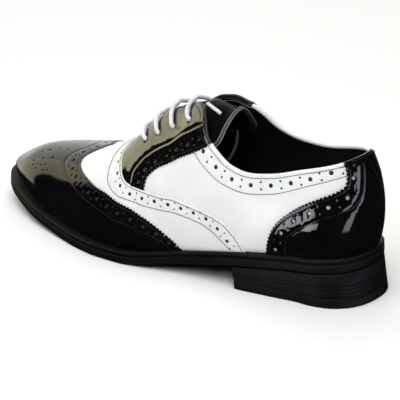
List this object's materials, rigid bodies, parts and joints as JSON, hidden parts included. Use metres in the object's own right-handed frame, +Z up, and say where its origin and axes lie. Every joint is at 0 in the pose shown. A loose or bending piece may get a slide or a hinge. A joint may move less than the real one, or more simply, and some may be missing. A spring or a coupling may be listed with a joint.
{
  "type": "brogue shoe",
  "caption": "Low-cut wing tip lace-up dress shoe, black patent and white leather with punched edges, on a ribbed block heel; a hollow upper for a foot.",
  "frame": {"origin": "on the floor, under the middle of the shoe's bounding box", "axes": "+X to the toe, +Y to the wearer's left (the outer side of this left shoe), +Z up"},
  "size_m": [0.2996, 0.1014, 0.1047],
  "materials": {
    "black_rubber": "satin black moulded rubber",
    "sock_lining": "matt black lining leather",
    "white_leather": "smooth white leather with a soft sheen",
    "black_patent": "high gloss black patent leather",
    "black_tongue": "glossy black leather",
    "white_lace": "matt white waxed cord"
  },
  "bodies": {
    "root": {"outsole": "black_rubber", "heel_block": "black_rubber", "heel_lift": "black_rubber", "insole": "sock_lining", "upper": "white_leather", "vamp": "white_leather", "wing_tip": "black_patent", "facing_outer": "black_patent", "facing_inner": "black_patent", "heel_counter": "black_patent", "tongue": "black_tongue", "lace_bar_1": "white_lace", "lace_bar_2": "white_lace", "lace_bar_3": "white_lace", "lace_bar_4": "white_lace"}
  },
  "joints": []
}
